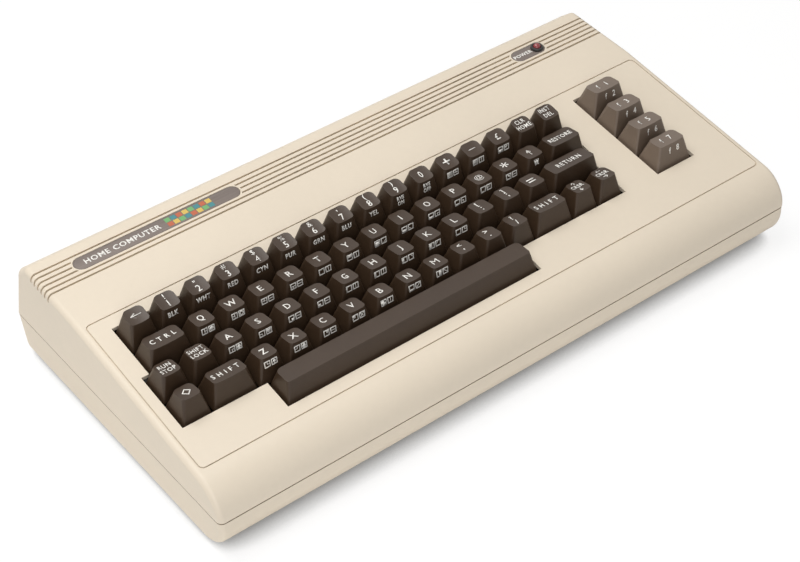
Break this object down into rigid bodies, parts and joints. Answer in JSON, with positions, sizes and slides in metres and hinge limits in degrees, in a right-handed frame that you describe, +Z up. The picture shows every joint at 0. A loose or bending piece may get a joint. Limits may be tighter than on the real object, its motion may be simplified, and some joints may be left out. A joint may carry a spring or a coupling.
{
  "type": "home computer",
  "caption": "Home computer with its keyboard built into a wedge-shaped cream case, with sprung keys, a power rocker, a channel switch and sockets.",
  "frame": {"origin": "on the table, under the middle of the case", "axes": "+X to the right along the keyboard, +Y towards the rear sockets, +Z up"},
  "size_m": [0.404, 0.2163, 0.0804],
  "materials": {
    "case_plastic": "lightly textured cream moulding",
    "dark_key_plastic": "satin dark brown",
    "taupe_key_plastic": "satin grey brown",
    "badge_metal": "brushed and tinted",
    "black_plastic": "satin black",
    "red_lens": "clear red lens",
    "board_resin": "green solder mask",
    "tinned_metal": "tinned sheet and zinc screws",
    "rubber_feet": "dark rubber"
  },
  "bodies": {
    "case": {"top_case": "case_plastic", "bottom_case": "case_plastic", "keyboard_frame": "black_plastic", "keyboard_circuit_board": "board_resin", "main_board": "board_resin", "name_badge": "badge_metal", "power_badge": "badge_metal", "lamp_holder": "black_plastic", "power_lamp": "red_lens", "power_switch_body": "black_plastic", "control_port_front": "black_plastic", "control_port_rear": "black_plastic", "power_socket": "black_plastic", "cartridge_socket": "black_plastic", "rf_modulator_box": "tinned_metal", "video_socket": "black_plastic", "serial_socket": "black_plastic", "foot_front_left": "rubber_feet", "foot_front_right": "rubber_feet", "foot_rear_left": "rubber_feet", "foot_rear_right": "rubber_feet", "case_screw_left": "tinned_metal", "case_screw_middle": "tinned_metal", "case_screw_right": "tinned_metal"},
    "power_rocker": {"power_switch_rocker": "black_plastic"},
    "channel_slider": {"channel_switch": "black_plastic"},
    "key_left_arrow_body": {"key_left_arrow": "dark_key_plastic"},
    "keys_digits_body": {"keys_digits": "dark_key_plastic"},
    "key_plus_body": {"key_plus": "dark_key_plastic"},
    "key_minus_body": {"key_minus": "dark_key_plastic"},
    "key_pound_body": {"key_pound": "dark_key_plastic"},
    "key_clear_home_body": {"key_clear_home": "dark_key_plastic"},
    "key_insert_delete_body": {"key_insert_delete": "dark_key_plastic"},
    "key_control_body": {"key_control": "dark_key_plastic"},
    "keys_q_to_p_body": {"keys_q_to_p": "dark_key_plastic"},
    "key_at_body": {"key_at": "dark_key_plastic"},
    "key_star_body": {"key_star": "dark_key_plastic"},
    "key_up_arrow_body": {"key_up_arrow": "dark_key_plastic"},
    "key_restore_body": {"key_restore": "dark_key_plastic"},
    "key_run_stop_body": {"key_run_stop": "dark_key_plastic"},
    "key_shift_lock_body": {"key_shift_lock": "dark_key_plastic"},
    "keys_a_to_l_body": {"keys_a_to_l": "dark_key_plastic"},
    "key_colon_body": {"key_colon": "dark_key_plastic"},
    "key_semicolon_body": {"key_semicolon": "dark_key_plastic"},
    "key_equals_body": {"key_equals": "dark_key_plastic"},
    "key_return_body": {"key_return": "dark_key_plastic"},
    "key_corner_body": {"key_corner": "dark_key_plastic"},
    "key_shift_left_body": {"key_shift_left": "dark_key_plastic"},
    "keys_z_to_m_body": {"keys_z_to_m": "dark_key_plastic"},
    "key_comma_body": {"key_comma": "dark_key_plastic"},
    "key_period_body": {"key_period": "dark_key_plastic"},
    "key_slash_body": {"key_slash": "dark_key_plastic"},
    "key_shift_right_body": {"key_shift_right": "dark_key_plastic"},
    "key_cursor_down_body": {"key_cursor_down": "dark_key_plastic"},
    "key_cursor_right_body": {"key_cursor_right": "dark_key_plastic"},
    "space_bar_body": {"space_bar": "dark_key_plastic"},
    "key_f1_body": {"key_f1": "taupe_key_plastic"},
    "key_f3_body": {"key_f3": "taupe_key_plastic"},
    "key_f5_body": {"key_f5": "taupe_key_plastic"},
    "key_f7_body": {"key_f7": "taupe_key_plastic"}
  },
  "joints": [
    {"name": "key_left_arrow_press", "type": "slide", "parent": "case", "child": "key_left_arrow_body", "axis": [0, 0.1736, -0.9848], "range_m": [0, 0.004], "stiffness_N_per_m": 120, "springref_m": -0.004},
    {"name": "keys_digits_press", "type": "slide", "parent": "case", "child": "keys_digits_body", "axis": [0, 0.1736, -0.9848], "range_m": [0, 0.004], "stiffness_N_per_m": 1200, "springref_m": -0.004},
    {"name": "key_plus_press", "type": "slide", "parent": "case", "child": "key_plus_body", "axis": [0, 0.1736, -0.9848], "range_m": [0, 0.004], "stiffness_N_per_m": 120, "springref_m": -0.004},
    {"name": "key_minus_press", "type": "slide", "parent": "case", "child": "key_minus_body", "axis": [0, 0.1736, -0.9848], "range_m": [0, 0.004], "stiffness_N_per_m": 120, "springref_m": -0.004},
    {"name": "key_pound_press", "type": "slide", "parent": "case", "child": "key_pound_body", "axis": [0, 0.1736, -0.9848], "range_m": [0, 0.004], "stiffness_N_per_m": 120, "springref_m": -0.004},
    {"name": "key_clear_home_press", "type": "slide", "parent": "case", "child": "key_clear_home_body", "axis": [0, 0.1736, -0.9848], "range_m": [0, 0.004], "stiffness_N_per_m": 120, "springref_m": -0.004},
    {"name": "key_insert_delete_press", "type": "slide", "parent": "case", "child": "key_insert_delete_body", "axis": [0, 0.1736, -0.9848], "range_m": [0, 0.004], "stiffness_N_per_m": 120, "springref_m": -0.004},
    {"name": "key_control_press", "type": "slide", "parent": "case", "child": "key_control_body", "axis": [0, 0.1736, -0.9848], "range_m": [0, 0.004], "stiffness_N_per_m": 120, "springref_m": -0.004},
    {"name": "keys_q_to_p_press", "type": "slide", "parent": "case", "child": "keys_q_to_p_body", "axis": [0, 0.1736, -0.9848], "range_m": [0, 0.004], "stiffness_N_per_m": 1200, "springref_m": -0.004},
    {"name": "key_at_press", "type": "slide", "parent": "case", "child": "key_at_body", "axis": [0, 0.1736, -0.9848], "range_m": [0, 0.004], "stiffness_N_per_m": 120, "springref_m": -0.004},
    {"name": "key_star_press", "type": "slide", "parent": "case", "child": "key_star_body", "axis": [0, 0.1736, -0.9848], "range_m": [0, 0.004], "stiffness_N_per_m": 120, "springref_m": -0.004},
    {"name": "key_up_arrow_press", "type": "slide", "parent": "case", "child": "key_up_arrow_body", "axis": [0, 0.1736, -0.9848], "range_m": [0, 0.004], "stiffness_N_per_m": 120, "springref_m": -0.004},
    {"name": "key_restore_press", "type": "slide", "parent": "case", "child": "key_restore_body", "axis": [0, 0.1736, -0.9848], "range_m": [0, 0.004], "stiffness_N_per_m": 120, "springref_m": -0.004},
    {"name": "key_run_stop_press", "type": "slide", "parent": "case", "child": "key_run_stop_body", "axis": [0, 0.1736, -0.9848], "range_m": [0, 0.004], "stiffness_N_per_m": 120, "springref_m": -0.004},
    {"name": "key_shift_lock_press", "type": "slide", "parent": "case", "child": "key_shift_lock_body", "axis": [0, 0.1736, -0.9848], "range_m": [0, 0.004], "stiffness_N_per_m": 120, "springref_m": -0.004},
    {"name": "keys_a_to_l_press", "type": "slide", "parent": "case", "child": "keys_a_to_l_body", "axis": [0, 0.1736, -0.9848], "range_m": [0, 0.004], "stiffness_N_per_m": 1080, "springref_m": -0.004},
    {"name": "key_colon_press", "type": "slide", "parent": "case", "child": "key_colon_body", "axis": [0, 0.1736, -0.9848], "range_m": [0, 0.004], "stiffness_N_per_m": 120, "springref_m": -0.004},
    {"name": "key_semicolon_press", "type": "slide", "parent": "case", "child": "key_semicolon_body", "axis": [0, 0.1736, -0.9848], "range_m": [0, 0.004], "stiffness_N_per_m": 120, "springref_m": -0.004},
    {"name": "key_equals_press", "type": "slide", "parent": "case", "child": "key_equals_body", "axis": [0, 0.1736, -0.9848], "range_m": [0, 0.004], "stiffness_N_per_m": 120, "springref_m": -0.004},
    {"name": "key_return_press", "type": "slide", "parent": "case", "child": "key_return_body", "axis": [0, 0.1736, -0.9848], "range_m": [0, 0.004], "stiffness_N_per_m": 120, "springref_m": -0.004},
    {"name": "key_corner_press", "type": "slide", "parent": "case", "child": "key_corner_body", "axis": [0, 0.1736, -0.9848], "range_m": [0, 0.004], "stiffness_N_per_m": 120, "springref_m": -0.004},
    {"name": "key_shift_left_press", "type": "slide", "parent": "case", "child": "key_shift_left_body", "axis": [0, 0.1736, -0.9848], "range_m": [0, 0.004], "stiffness_N_per_m": 120, "springref_m": -0.004},
    {"name": "keys_z_to_m_press", "type": "slide", "parent": "case", "child": "keys_z_to_m_body", "axis": [0, 0.1736, -0.9848], "range_m": [0, 0.004], "stiffness_N_per_m": 840, "springref_m": -0.004},
    {"name": "key_comma_press", "type": "slide", "parent": "case", "child": "key_comma_body", "axis": [0, 0.1736, -0.9848], "range_m": [0, 0.004], "stiffness_N_per_m": 120, "springref_m": -0.004},
    {"name": "key_period_press", "type": "slide", "parent": "case", "child": "key_period_body", "axis": [0, 0.1736, -0.9848], "range_m": [0, 0.004], "stiffness_N_per_m": 120, "springref_m": -0.004},
    {"name": "key_slash_press", "type": "slide", "parent": "case", "child": "key_slash_body", "axis": [0, 0.1736, -0.9848], "range_m": [0, 0.004], "stiffness_N_per_m": 120, "springref_m": -0.004},
    {"name": "key_shift_right_press", "type": "slide", "parent": "case", "child": "key_shift_right_body", "axis": [0, 0.1736, -0.9848], "range_m": [0, 0.004], "stiffness_N_per_m": 120, "springref_m": -0.004},
    {"name": "key_cursor_down_press", "type": "slide", "parent": "case", "child": "key_cursor_down_body", "axis": [0, 0.1736, -0.9848], "range_m": [0, 0.004], "stiffness_N_per_m": 120, "springref_m": -0.004},
    {"name": "key_cursor_right_press", "type": "slide", "parent": "case", "child": "key_cursor_right_body", "axis": [0, 0.1736, -0.9848], "range_m": [0, 0.004], "stiffness_N_per_m": 120, "springref_m": -0.004},
    {"name": "space_bar_press", "type": "slide", "parent": "case", "child": "space_bar_body", "axis": [0, 0.1736, -0.9848], "range_m": [0, 0.004], "stiffness_N_per_m": 120, "springref_m": -0.004},
    {"name": "key_f1_press", "type": "slide", "parent": "case", "child": "key_f1_body", "axis": [0, 0.1736, -0.9848], "range_m": [0, 0.004], "stiffness_N_per_m": 120, "springref_m": -0.004},
    {"name": "key_f3_press", "type": "slide", "parent": "case", "child": "key_f3_body", "axis": [0, 0.1736, -0.9848], "range_m": [0, 0.004], "stiffness_N_per_m": 120, "springref_m": -0.004},
    {"name": "key_f5_press", "type": "slide", "parent": "case", "child": "key_f5_body", "axis": [0, 0.1736, -0.9848], "range_m": [0, 0.004], "stiffness_N_per_m": 120, "springref_m": -0.004},
    {"name": "key_f7_press", "type": "slide", "parent": "case", "child": "key_f7_body", "axis": [0, 0.1736, -0.9848], "range_m": [0, 0.004], "stiffness_N_per_m": 120, "springref_m": -0.004},
    {"name": "power_rocker_hinge", "type": "hinge", "parent": "case", "child": "power_rocker", "pos_m": [0.1944, 0.01204, 0.0253], "axis": [0, 0, 1], "range_deg": [-20, 0]},
    {"name": "channel_slide", "type": "slide", "parent": "case", "child": "channel_slider", "axis": [1, 0, 0], "range_m": [0, 0.003]}
  ]
}
